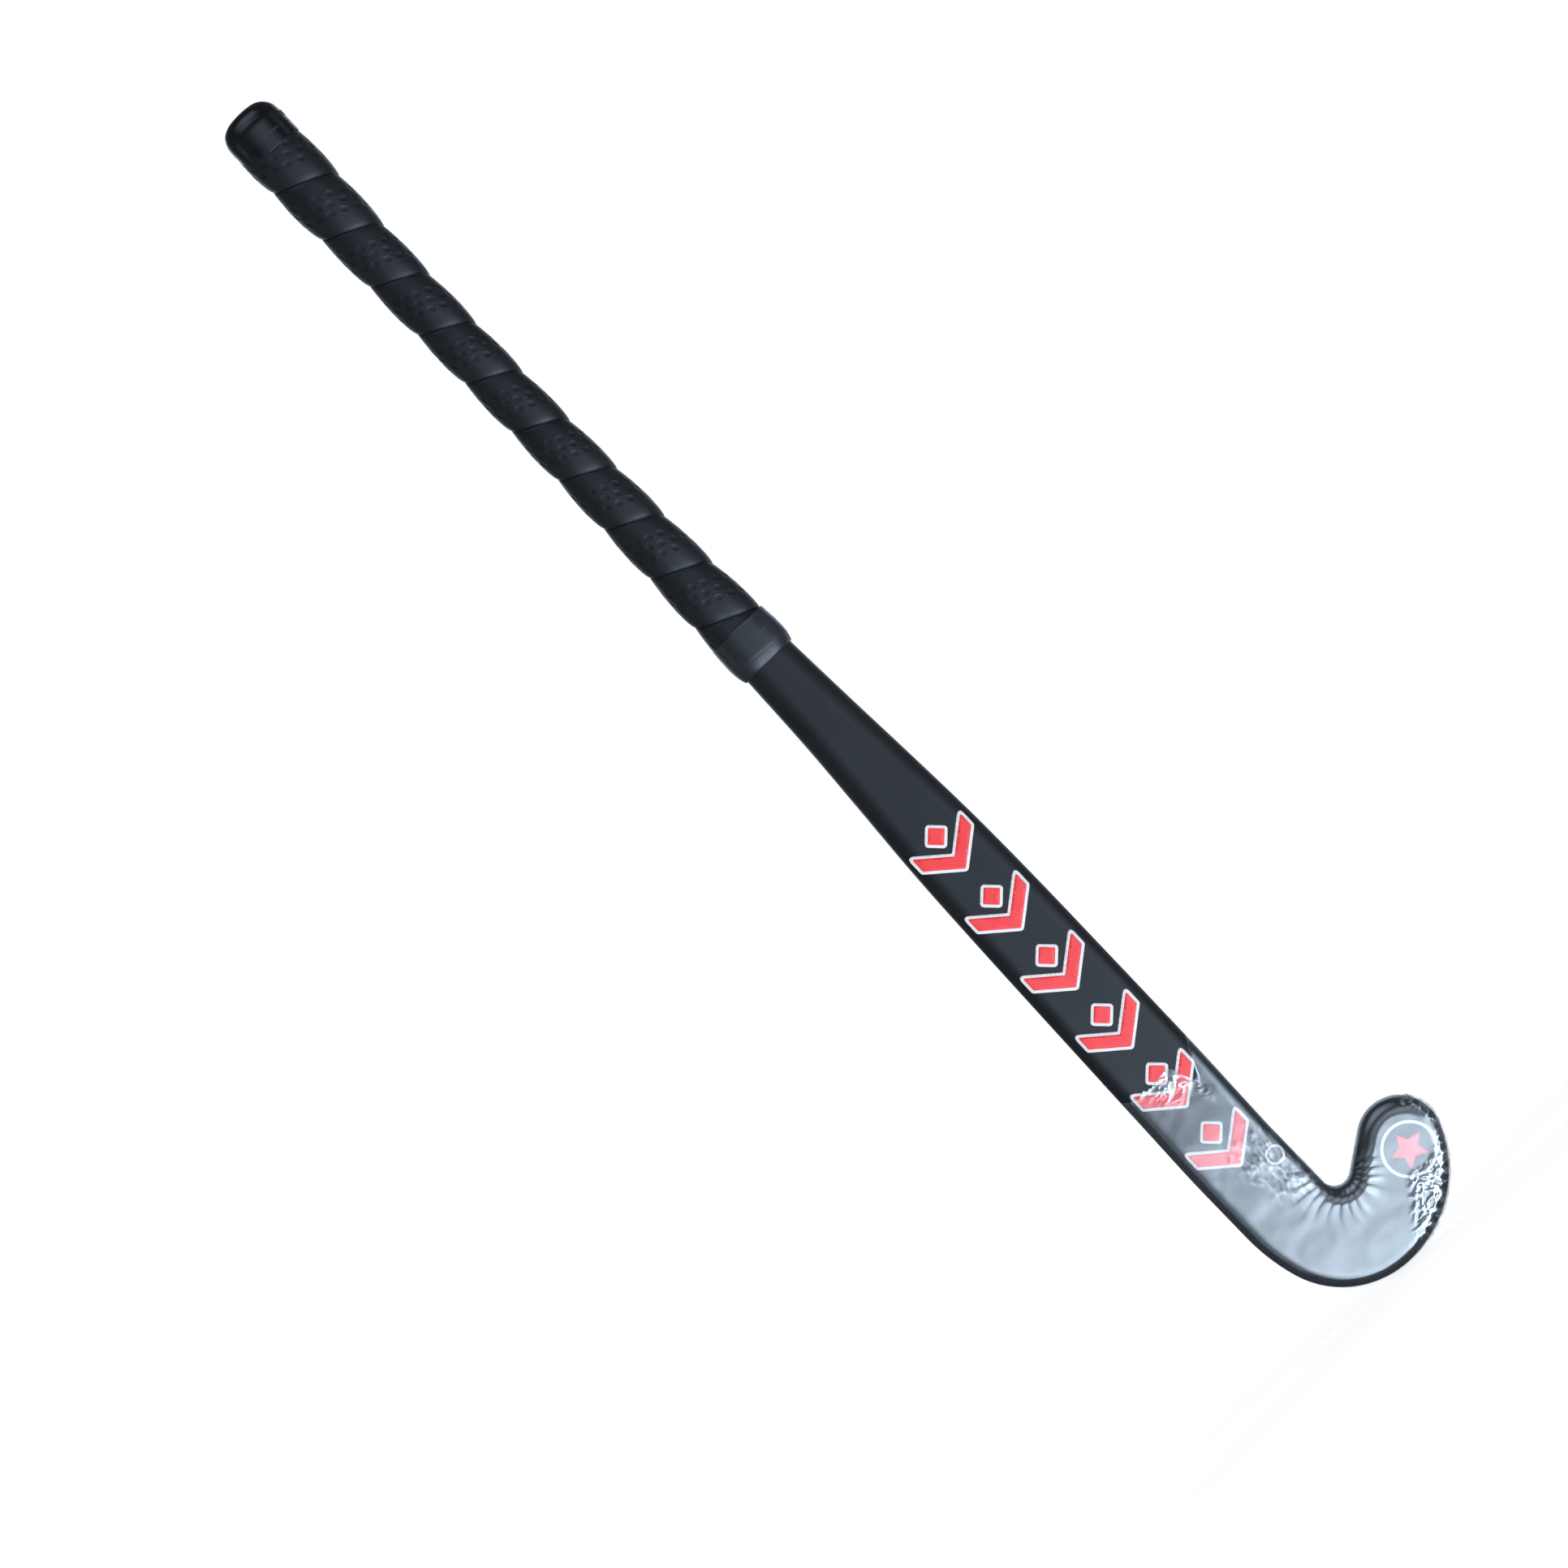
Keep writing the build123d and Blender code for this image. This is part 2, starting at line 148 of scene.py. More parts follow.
def head_outline():
    """The head's outline from the heel round the sole and toe to the throat, as close points."""
    spot, heading = np.array([31.7, 160.0]), -90.0
    path = [spot]
    for length, radius, turn in (
        (160.0 - 73.25, 0, 0),
        (0, 118.0, -16.7),
        (0, 55.2, -73.3),
        (0, 69.3, -69.4),
        (0, TOE_RADIUS, -146.6),
        (TOE_START, 0, 0),
        (0, THROAT_RADIUS, THROAT_TURN),
        (90.0, 0, 0),
    ):
        steps = max(1, math.ceil(abs(turn) / 1.5)) if turn else 12
        bend = turn / steps
        chord = 2 * radius * math.sin(math.radians(abs(bend) / 2)) if turn else length / steps
        for _ in range(steps):
            heading += bend / 2
            way = math.radians(heading)
            spot = spot + chord * np.array([math.cos(way), math.sin(way)])
            heading += bend / 2
            path.append(spot)
    return np.array(path)


OUTLINE = head_outline()
EDGE_A, EDGE_B = OUTLINE[:-1], OUTLINE[1:]


def rim_distance(points):
    """Distance of head points (across, up) from the head's outline."""
    flat = points.reshape(-1, 2)
    along = EDGE_B - EDGE_A
    size = (along**2).sum(1)
    found = np.empty(len(flat))
    for start in range(0, len(flat), 4000):
        p = flat[start : start + 4000, None, :]
        t = np.clip(((p - EDGE_A) * along).sum(2) / size, 0, 1)
        gap = p - (EDGE_A + t[..., None] * along)
        found[start : start + 4000] = np.sqrt((gap**2).sum(2).min(1))
    return found.reshape(points.shape[:-1])


def depth(rim, thickness, face_round, back_round, on_face):
    """How far back the surface lies at this distance from the edge."""
    turn = np.where(on_face, face_round, back_round)
    rise = np.sqrt(np.maximum(0, turn**2 - (turn - np.minimum(rim, turn)) ** 2))
    return np.where(on_face, -1, 1) * (thickness / 2 - turn + rise)


def surface(across, up, on_face):
    """How far back the flat face or the rounded back lies at a place (across, up)."""
    heel, toe, thickness, face_round, back_round = section(up)
    rim = np.minimum(across + toe, heel - across)
    low = up < HEAD_TOP
    if np.any(low):
        rim = np.where(low, rim_distance(np.stack(np.broadcast_arrays(across, up), -1)), rim)
    return depth(np.maximum(rim, 0), thickness, face_round, back_round, on_face)


def crossings(origins, directions):
    """Nearest and farthest distance at which each line meets the head's outline."""
    near, far = np.empty(len(origins)), np.empty(len(origins))
    along = EDGE_B - EDGE_A
    for i, (start, way) in enumerate(zip(origins, directions)):
        gap = EDGE_A - start
        cross = way[0] * along[:, 1] - way[1] * along[:, 0]
        cross = np.where(np.abs(cross) < 1e-12, 1e-12, cross)
        t = (gap[:, 0] * along[:, 1] - gap[:, 1] * along[:, 0]) / cross
        s = (gap[:, 0] * way[1] - gap[:, 1] * way[0]) / cross
        hits = t[(s >= -1e-9) & (s <= 1 + 1e-9) & (t > 1e-6)]
        near[i], far[i] = hits.min(), hits.max()
    return near, far


def head_lines(fine):
    """Section lines through the head from the toe's tip round the throat to the shaft."""
    origins, directions = [], []
    last = math.radians(-THROAT_TURN)
    way = np.array([math.cos(last), math.sin(last)])
    onward = np.array([way[1], -way[0]])
    count = int(14 * fine)
    for k in range(count, 0, -1):
        reach = TOE_START + TOE_RADIUS * math.sin(math.pi / 2 * (k - 0.02) / count)
        origins.append(THROAT + onward * reach)
        directions.append(way)
    for reach in np.linspace(TOE_START, 0, int(14 * fine), endpoint=False):
        origins.append(THROAT + onward * reach)
        directions.append(way)
    for angle in np.linspace(last, 0, int(44 * fine), endpoint=False):
        origins.append(THROAT)
        directions.append(np.array([math.cos(angle), math.sin(angle)]))
    for up in np.linspace(THROAT[1], HEAD_TOP, int(18 * fine), endpoint=False):
        origins.append(np.array([THROAT[0], up]))
        directions.append(np.array([1.0, 0.0]))
    return np.array(origins), np.array(directions)


def columns(fine):
    """Where the mesh's columns run round a section: side, part and share of the part."""
    arc_face, arc_back, flat, wall = int(4 * fine), int(8 * fine), int(16 * fine), max(2, int(2 * fine))
    found = [("face", "in", k / arc_face) for k in range(arc_face)]
    found += [("face", "flat", k / flat) for k in range(flat)]
    found += [("face", "out", 1 - k / arc_face) for k in range(arc_face + 1)]
    found += [("wall", "out", k / wall) for k in range(1, wall)]
    found += [("back", "out", k / arc_back) for k in range(arc_back)]
    found += [("back", "flat", 1 - k / flat) for k in range(flat)]
    found += [("back", "in", 1 - k / arc_back) for k in range(arc_back + 1)]
    found += [("wall", "in", 1 - k / wall) for k in range(1, wall)]
    return found


def along_line(column, width, face_round, back_round):
    """How far along its section line a column lies, from the toe's side or the throat."""
    side, part, share = column
    turn = np.minimum(face_round if side == "face" else back_round, width * 0.4999)
    if side == "wall":
        return width if part == "out" else width * 0
    if part == "in":
        return turn * (1 - math.cos(share * math.pi / 2))
    if part == "out":
        return width - turn * (1 - math.cos(share * math.pi / 2))
    return turn + share * (width - 2 * turn)


def backs(scheme, rims, sizes):
    """How far back each column's points lie."""
    thickness, face_round, back_round = sizes
    found = []
    for j, (side, part, share) in enumerate(scheme):
        if side == "wall":
            front = face_round - thickness / 2
            behind = thickness / 2 - back_round
            found.append(front + share * (behind - front) + 0 * rims[:, j])
        else:
            found.append(depth(rims[:, j], thickness, face_round, back_round, side == "face"))
    return np.stack(found, 1)


def skin(scheme, fine, shaft_ups):
    """(across, up, back) of a mesh over head and shaft. shaft_ups holds a row of heights per mesh row."""
    origins, directions = head_lines(fine)
    near, far = crossings(origins, directions)
    width = far - near
    places = []
    for column in scheme:
        reach = near + along_line(column, width, FACE_ROUND, BACK_ROUND)
        places.append(origins + directions * reach[:, None])
    places = np.stack(places, 1)
    rims = rim_distance(places)
    head_sizes = [np.full(len(origins), v) for v in (HEAD_THICKNESS, FACE_ROUND, BACK_ROUND)]
    head = np.concatenate((places, backs(scheme, rims, head_sizes)[..., None]), -1)
    shaft = np.empty(shaft_ups.shape + (3,))
    for j, column in enumerate(scheme):
        up = shaft_ups[:, j]
        heel, toe, thickness, face_round, back_round = section(up)
        reach = along_line(column, heel + toe, face_round, back_round)
        rim = np.minimum(reach, heel + toe - reach)[:, None]
        shaft[:, j, 0], shaft[:, j, 1] = reach - toe, up
        shaft[:, j, 2] = backs([column], rim, (thickness, face_round, back_round))[:, 0]
    return np.concatenate((head, shaft), 0)


def outward(grid):
    """Unit normals of a closed mesh of rows, which run up the stick."""
    up_way = np.gradient(grid, axis=0)
    round_way = np.roll(grid, -1, 1) - np.roll(grid, 1, 1)
    normal = np.cross(round_way, up_way)
    return normal / np.maximum(np.linalg.norm(normal, axis=-1, keepdims=True), 1e-12)


def wave(points, scale, seed):
    """Smooth noise from -1 to 1 at points in metres."""
    flat = points.reshape(-1, 3) * scale
    shift = Vector((seed * 13.1, seed * 7.7, seed * 3.3))
    return np.array([noise.noise(Vector(p) + shift) for p in flat.tolist()]).reshape(points.shape[:-1])


def ridges(points, scale, seed, octaves=3):
    """Sharp folds from 0 to 1 at points in metres."""
    total, weight = 0, 0
    for k in range(octaves):
        total = total + (1 - np.abs(wave(points, scale * 2**k, seed + k)) * 2.4) / 1.7**k
        weight += 1 / 1.7**k
    return np.clip(total / weight, 0, 1)


def step(low, high, value):
    """Rises smoothly from 0 to 1 between low and high."""
    t = np.clip((value - low) / (high - low), 0, 1)
    return t * t * (3 - 2 * t)


# ---------------------------------------------------------------- meshes


def new_piece(name, verts, faces, look, sharp=None):
    """A smooth mesh piece, with hard edges above the angle sharp."""
    mesh = bpy.data.meshes.new(name)
    mesh.from_pydata([tuple(v) for v in verts], [], faces)
    mesh.polygons.foreach_set("use_smooth", [True] * len(mesh.polygons))
    if sharp is not None:
        mesh.set_sharp_from_angle(angle=math.radians(sharp))
    mesh.update()
    piece = bpy.data.objects.new(name, mesh)
    bpy.context.scene.collection.objects.link(piece)
    mesh.materials.append(look)
    return piece


def grid_faces(rows, cols, closed=True):
    """Faces of a mesh of rows and columns, closed round if its last column meets its first."""
    faces = []
    for r in range(rows - 1):
        for c in range(cols if closed else cols - 1):
            d = (c + 1) % cols
            faces.append((r * cols + c, r * cols + d, (r + 1) * cols + d, (r + 1) * cols + c))
    return faces


def thicken(piece, thickness):
    """Gives a sheet its thickness, inwards."""
    solid = piece.modifiers.new("wall", "SOLIDIFY")
    solid.thickness = thickness * MM
    solid.offset = -1
    return piece


def attribute(piece, name, values):
    """Gives each point a number that the piece's material reads."""
    found = piece.data.attributes.new(name, "FLOAT", "POINT")
    found.data.foreach_set("value", np.asarray(values, np.float32).ravel())


def polar(angle, up, out):
    """(across, back) of a place this far out from the handle's surface, by its angle from the heel."""
    heel, toe, thickness, face_round, back_round = section(up)
    cos, sin = np.cos(angle), np.sin(angle)
    half = np.where(cos > 0, heel, toe) + out
    deep = thickness / 2 + out
    turn = np.where(sin > 0, back_round, face_round) + out
    turn = np.minimum(turn, np.minimum(half, deep) * 0.999)
    shape = np.broadcast(angle, up).shape
    low, high = np.zeros(shape), np.full(shape, 40.0)
    for _ in range(26):
        mid = (low + high) / 2
        x = np.maximum(np.abs(mid * cos) - (half - turn), 0)
        y = np.maximum(np.abs(mid * sin) - (deep - turn), 0)
        inside = np.hypot(x, y) < turn
        low, high = np.where(inside, mid, low), np.where(inside, high, mid)
    return low * cos, low * sin


# ---------------------------------------------------------------- materials


class Look:
    """A procedural material: one Principled shader and the nodes that feed it."""

    def __init__(self, name, **sockets):
        self.material = bpy.data.materials.new(name)
        self.material.use_nodes = True
        self.tree = self.material.node_tree
        self.tree.nodes.clear()
        self.shader = self.add("ShaderNodeBsdfPrincipled")
        output = self.add("ShaderNodeOutputMaterial")
        self.link(self.shader.outputs["BSDF"], output.inputs["Surface"])
        self.coordinates = self.add("ShaderNodeTexCoord").outputs["Object"]
        for socket, value in sockets.items():
            self.shader.inputs[socket.replace("_", " ")].default_value = value
        self.bumped = None

    def add(self, kind, **settings):
        node = self.tree.nodes.new(kind)
        for key, value in settings.items():
            setattr(node, key, value)
        return node

    def link(self, a, b):
        self.tree.links.new(a, b)

    def stretched(self, factors):
        node = self.add("ShaderNodeMapping")
        self.link(self.coordinates, node.inputs["Vector"])
        node.inputs["Scale"].default_value = factors
        return node.outputs["Vector"]

    def noise(self, scale, detail, vector=None, distortion=0.0):
        node = self.add("ShaderNodeTexNoise")
        node.inputs["Scale"].default_value = scale
        node.inputs["Detail"].default_value = detail
        node.inputs["Roughness"].default_value = 0.55
        node.inputs["Distortion"].default_value = distortion
        self.link(vector or self.coordinates, node.inputs["Vector"])
        return node.outputs["Fac"]

    def cells(self, scale):
        node = self.add("ShaderNodeTexVoronoi", feature="F1")
        node.inputs["Scale"].default_value = scale
        self.link(self.coordinates, node.inputs["Vector"])
        return node.outputs["Distance"]

    def ramp(self, value, low, high):
        node = self.add("ShaderNodeValToRGB")
        for end, (position, colour) in zip(node.color_ramp.elements, (low, high)):
            end.position = position
            end.color = (*colour, 1)
        self.link(value, node.inputs["Fac"])
        return node.outputs["Color"]

    def spread(self, value, low, high, start=0.3, end=0.7):
        node = self.add("ShaderNodeMapRange")
        self.link(value, node.inputs["Value"])
        for key, number in zip(("From Min", "From Max", "To Min", "To Max"), (start, end, low, high)):
            node.inputs[key].default_value = number
        return node.outputs["Result"]

    def field(self, name):
        return self.add("ShaderNodeAttribute", attribute_name=name).outputs["Fac"]

    def mix(self, share, socket, colour):
        node = self.add("ShaderNodeMix", data_type="RGBA")
        self.link(share, node.inputs["Factor"])
        a, b = [s for s in node.inputs if s.type == "RGBA"]
        self.link(socket, a)
        b.default_value = (*colour, 1)
        return [s for s in node.outputs if s.type == "RGBA"][0]

    def scaled(self, value, factor):
        node = self.add("ShaderNodeMath", operation="MULTIPLY")
        self.link(value, node.inputs[0])
        node.inputs[1].default_value = factor
        return node.outputs["Value"]

    def bump(self, height, distance, strength):
        node = self.add("ShaderNodeBump")
        node.inputs["Strength"].default_value = strength
        node.inputs["Distance"].default_value = distance * MM
        self.link(height, node.inputs["Height"])
        if self.bumped is not None:
            self.link(self.bumped, node.inputs["Normal"])
        self.bumped = node.outputs["Normal"]
        self.link(self.bumped, self.shader.inputs["Normal"])

    def colour(self, socket):
        self.link(socket, self.shader.inputs["Base Color"])

    def rough(self, socket):
        self.link(socket, self.shader.inputs["Roughness"])


def composite_look():
    look = Look("satin_composite", IOR=1.45, Specular_IOR_Level=0.38)
    cloud = look.noise(26, 3)
    look.colour(look.ramp(cloud, (0.3, (0.0042, 0.0056, 0.0078)), (0.7, (0.0068, 0.0086, 0.0118))))
    look.rough(look.spread(look.noise(70, 5), 0.40, 0.50))
    scratch = look.noise(240, 2, vector=look.stretched((1, 1, 0.035)))
    look.bump(scratch, 0.012, 0.15)
    look.bump(look.noise(420, 2), 0.010, 0.15)
    return look.material


def grip_look():
    look = Look("perforated_grip", IOR=1.45, Specular_IOR_Level=0.42)
    wear_and_seam_shade = look.ramp(look.noise(34, 4), (0.3, (0.0040, 0.0050, 0.0072)), (0.72, (0.0068, 0.0088, 0.0125)))
    # The strip's edges, where the turns meet, are darkened here: painted shade in the gaps between turns, on
    # top of the grip's random tone.
    wear_and_seam_shade = look.mix(look.field("seam_shade"), wear_and_seam_shade, (0.0012, 0.0014, 0.0020))
    # The perforation dimples are darkened here: painted shade in their recesses.
    shade = look.scaled(look.field("hole"), 0.45)
    look.colour(look.mix(shade, wear_and_seam_shade, (0.0022, 0.0028, 0.0042)))
    look.rough(look.spread(look.noise(55, 5), 0.36, 0.48))
    look.bump(look.cells(1500), 0.03, 0.25)
    look.bump(look.noise(320, 4), 0.05, 0.3)
    return look.material


def tape_look(name, dark, light, rough, scratches):
    look = Look(name, IOR=1.48, Specular_IOR_Level=0.5)
    look.colour(look.ramp(look.noise(40, 4), (0.3, dark), (0.7, light)))
    look.rough(look.spread(look.noise(60, 5), *rough))
    look.bump(look.noise(45, 2), 0.16, 0.5)
    look.bump(look.noise(500, 3, vector=look.stretched((1, 1, 0.3))), 0.02, scratches)
    return look.material


def print_look(name, low, high, rough):
    look = Look(name, IOR=1.47, Specular_IOR_Level=0.45)
    look.colour(look.ramp(look.noise(60, 4), (0.3, low), (0.7, high)))
    look.rough(look.spread(look.noise(120, 4), *rough))
    look.bump(look.noise(900, 2), 0.012, 0.3)
    return look.material


def film_look():
    """Clear film: nearly see-through, with strong reflections that its low alpha weakens again."""
    look = Look("clear_shrink_film", IOR=11.0, Specular_IOR_Level=0.5)
    fold_sheen = look.field("fold_sheen")
    veil = look.ramp(look.noise(22, 3), (0.3, (0.15, 0.19, 0.25)), (0.7, (0.22, 0.27, 0.34)))
    # Creases are drawn more opaque and light blue-grey: real creases in the film, with a painted silvery
    # reflection in their colour.
    look.colour(look.mix(fold_sheen, veil, (0.55, 0.62, 0.72)))
    alpha = look.spread(fold_sheen, 0.09, 0.30, 0.0, 1.0)
    look.link(alpha, look.shader.inputs["Alpha"])
    look.rough(look.spread(look.noise(80, 3), 0.10, 0.18))
    look.bump(look.noise(60, 2, distortion=0.6), 0.18, 0.35)
    return look.material


def foam_look(name, dark, light, scale, rough):
    look = Look(name, IOR=1.45)
    cell = look.cells(scale)
    look.colour(look.ramp(cell, (0.0, dark), (0.6, light)))
    look.rough(look.spread(look.noise(scale / 4, 3), *rough))
    look.bump(cell, 0.35, 0.6)
    return look.material


COMPOSITE = composite_look()
GRIP = grip_look()
COLLAR = tape_look("satin_collar_tape", (0.010, 0.012, 0.016), (0.016, 0.019, 0.025), (0.26, 0.36), 0.3)
BUTT = tape_look(
    "glossy_vinyl_tape", (0.0040, 0.0045, 0.0065), (0.0065, 0.0075, 0.0105), (0.05, 0.11), 0.15
)
WHITE = print_look("white_transfer", (0.78, 0.82, 0.89), (0.84, 0.87, 0.93), (0.34, 0.44))
RED = print_look("red_transfer", (0.88, 0.030, 0.040), (0.94, 0.044, 0.054), (0.34, 0.44))
FILM = film_look()

# ---------------------------------------------------------------- composite shell

scheme = columns(SHELL_FINENESS)
shaft_rows = np.concatenate((np.arange(HEAD_TOP, 440.0, 3.0), np.arange(440.0, SHELL_TOP + 0.1, 6.0)))
shell_grid = skin(scheme, SHELL_FINENESS, np.repeat(shaft_rows[:, None], len(scheme), 1))
shell_points = place(shell_grid[..., 0], shell_grid[..., 1], shell_grid[..., 2])
rows, cols = shell_points.shape[:2]
shell_faces = grid_faces(rows, cols) + [tuple(range(cols - 1, -1, -1))]
shell = new_piece("shell", shell_points.reshape(-1, 3), shell_faces, COMPOSITE)
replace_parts(thicken(shell, WALL), "composite_shell")

# ---------------------------------------------------------------- printed transfers

GRAPHIC_MIDDLES = ((112.0, 5.4), (375.0, 0.4))
STROKE, WHITE_GROWTH = 9.0, 1.7


def middle_of(up):
    """The middle of the stick's width, which the graphics follow."""
    (low, a), (high, b) = GRAPHIC_MIDDLES
    return a + (b - a) * (up - low) / (high - low)


def rounded(points, amount, turn):
    """An outline grown outwards by this much, with its corners turned to arcs."""
    points = np.array(points, float)
    following = np.roll(points, -1, 0)
    if (points[:, 0] * following[:, 1] - points[:, 1] * following[:, 0]).sum() < 0:
        points = points[::-1]
    ways = np.roll(points, -1, 0) - points
    ways /= np.linalg.norm(ways, axis=1, keepdims=True)
    sides = np.stack((ways[:, 1], -ways[:, 0]), 1)
    grown = []
    for i in range(len(points)):
        before, after = sides[i - 1], sides[i]
        bisector = before + after
        grown.append(points[i] + bisector * amount * 2 / (bisector**2).sum())
    found = []
    for i, corner in enumerate(grown):
        a, b = grown[i - 1] - corner, grown[(i + 1) % len(grown)] - corner
        la, lb = np.linalg.norm(a), np.linalg.norm(b)
        a, b = a / la, b / lb
        half = math.acos(np.clip(a @ b, -1, 1)) / 2
        convex = a[0] * b[1] - a[1] * b[0] < 0
        radius = turn + amount if convex else max(turn - amount, 0.3)
        reach = min(radius / math.tan(half), la * 0.42, lb * 0.42)
        start, end = corner + a * reach, corner + b * reach
        for t in np.linspace(0, 1, 7):
            found.append((1 - t) ** 2 * start + 2 * t * (1 - t) * corner + t * t * end)
    return found


def ring(centre, radius, stroke):
    """Outer and inner outline of a ring."""
    turns = np.linspace(0, 2 * math.pi, 72, endpoint=False)
    circle = np.stack((np.cos(turns), np.sin(turns)), 1)
    return [np.array(centre) + circle * radius, np.array(centre) + circle * (radius - stroke)]


def transfer(name, node, outlines, out, on_face, look, rings=False):
    """A printed layer that follows the stick's surface, cut from outlines or rings of (across, up)."""
    bm = bmesh.new()
    for outline in outlines:
        if rings:
            outer, inner = ([bm.verts.new((*p, 0)) for p in side] for side in outline)
            for i in range(len(outer)):
                bm.faces.new((outer[i - 1], outer[i], inner[i], inner[i - 1]))
        else:
            bm.faces.new([bm.verts.new((*p, 0)) for p in outline])
    bmesh.ops.triangulate(bm, faces=bm.faces[:], ngon_method="BEAUTY")
    spots = np.array([v.co for v in bm.verts])
    for axis, way in enumerate((Vector((1, 0, 0)), Vector((0, 1, 0)))):
        for cut in np.arange(spots[:, axis].min() + 1.1, spots[:, axis].max(), 1.7):
            parts = bm.verts[:] + bm.edges[:] + bm.faces[:]
            bmesh.ops.bisect_plane(bm, geom=parts, plane_co=way * cut, plane_no=way)
    bmesh.ops.remove_doubles(bm, verts=bm.verts[:], dist=0.004)
    bmesh.ops.recalc_face_normals(bm, faces=bm.faces[:])
    flat = np.array([v.co for v in bm.verts])
    across, up = flat[:, 0], flat[:, 1]
    nudge = 0.15
    here = place(across, up, surface(across, up, on_face))
    east = place(across + nudge, up, surface(across + nudge, up, on_face)) - here
    north = place(across, up + nudge, surface(across, up + nudge, on_face)) - here
    normal = np.cross(east, north) * (1 if on_face else -1)
    normal /= np.linalg.norm(normal, axis=1, keepdims=True)
    spots = here + normal * out * MM
    bm.verts.index_update()
    faces = []
    for face in bm.faces:
        loop = [v.index for v in face.verts]
        a, b, c = (flat[k][:2] for k in loop[:3])
        turn = (b[0] - a[0]) * (c[1] - a[1]) - (b[1] - a[1]) * (c[0] - a[0])
        faces.append(loop if (turn > 0) == on_face else loop[::-1])
    bm.free()
    piece = new_piece(name, spots, faces, look)
    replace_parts(thicken(piece, PRINT_THICKNESS), node)


def centred(points):
    """Moves an outline drawn about 0 to the middle of the stick's width."""
    return [(x + middle_of(up), up) for x, up in points]


def chevrons():
    """Chevrons that point to the head, each with a diamond in its notch."""
    found = []
    for i in range(6):
        tip = 108.0 + 45.0 * i
        side, wide, half = tip + 15.0, 18.5, 6.5
        notch, top = tip + STROKE, side + STROKE
        angle = [(0, tip), (wide, side), (wide, top), (0, notch), (-wide, top), (-wide, side)]
        found.append(centred(angle))
        found.append(centred([(0, top - half), (half, top), (0, top + half), (-half, top)]))
    return found


def stripes():
    """Slanted stripes: a whole one, then a split one above it."""
    found = []
    wide, slope, gap = 18.5, 0.4, 2.8
    for base in 119.0 + 54.0 * np.arange(5):
        for start, end, up in ((-wide, wide, base), (-wide, -gap, base + 17.0), (gap, wide, base + 17.0)):
            low, high = up + slope * start, up + slope * end
            found.append(centred([(start, low), (end, high), (end, high + STROKE), (start, low + STROKE)]))
    return found


for side_name, outlines, on_face in (("back", chevrons(), False), ("face", stripes(), True)):
    grown = [rounded(o, WHITE_GROWTH, 0.8) for o in outlines]
    plain = [rounded(o, 0, 0.8) for o in outlines]
    node = f"{side_name}_graphic"
    transfer(f"{side_name}_white", f"{node}_white", grown, WHITE_OUT, on_face, WHITE)
    transfer(f"{side_name}_red", f"{node}_red", plain, RED_OUT, on_face, RED)

MARK_HALF_WIDTH, MARK_HALF_HEIGHT = 3.5, 1.7
marks = []
for i in range(11):
    x, y = middle_of(415 + 7.2 * i), 415 + 7.2 * i
    left, right = x - MARK_HALF_WIDTH, x + MARK_HALF_WIDTH
    low, high = y - MARK_HALF_HEIGHT, y + MARK_HALF_HEIGHT
    marks.append(rounded([(left, low), (right, low), (right, high), (left, high)], 0, 0.7))
transfer("face_marks", "face_small_marks", marks, WHITE_OUT, True, WHITE)

small_ring = [ring((-12.0, 98.0), 5.6, 1.1)]
transfer("round_mark", "back_round_mark", small_ring, WHITE_OUT, False, WHITE, rings=True)

BADGE = (-68.0, 47.5)
badge_ring = [ring(BADGE, 16.4, 1.8)]
transfer("badge_ring", "toe_badge_ring", badge_ring, WHITE_OUT, False, WHITE, rings=True)
star = []
for i in range(10):
    reach, turn = (11.5, 5.5)[i % 2], math.radians(90 + 36 * i)
    star.append((BADGE[0] + reach * math.cos(turn), BADGE[1] + reach * math.sin(turn)))
transfer("badge_star", "toe_badge_emblem", [rounded(star, 0, 0.5)], RED_OUT, False, RED)

# ---------------------------------------------------------------- shrink film over the head

# The film's top edge is ragged, lower on the back than on the face, and has a dip on the back.
FILM_TOP, FILM_SLANT, DIP_ACROSS, DIP_DEPTH = 184.0, 9.0, -10.0, 14.0
TOE_MIDDLE = (-68.83, 53.26)
film_scheme = columns(FILM_FINENESS)
count = len(film_scheme)
base = skin(film_scheme, SHELL_FINENESS, np.full((1, count), 186.0))[-1]
around = np.linspace(0, 2 * math.pi, count, endpoint=False)
circle = np.stack((np.cos(around), np.sin(around), 0 * around), 1)
top_edge = FILM_TOP - FILM_SLANT * np.clip(base[:, 2] / 10, -1, 1)
top_edge += 3.2 * wave(circle * 1.3, 1, 3) + 1.7 * wave(circle * 5, 1, 4) + 0.8 * wave(circle * 14, 1, 5)
dip = np.exp(-(((base[:, 0] - DIP_ACROSS) / 5.5) ** 2)) * (base[:, 2] > 5)
top_edge -= DIP_DEPTH * dip
share = np.linspace(0, 1, 118)[:, None]
film_grid = skin(film_scheme, FILM_FINENESS, HEAD_TOP + (top_edge[None, :] - HEAD_TOP) * share)
film_points = place(film_grid[..., 0], film_grid[..., 1], film_grid[..., 2])
film_normal = outward(film_points)

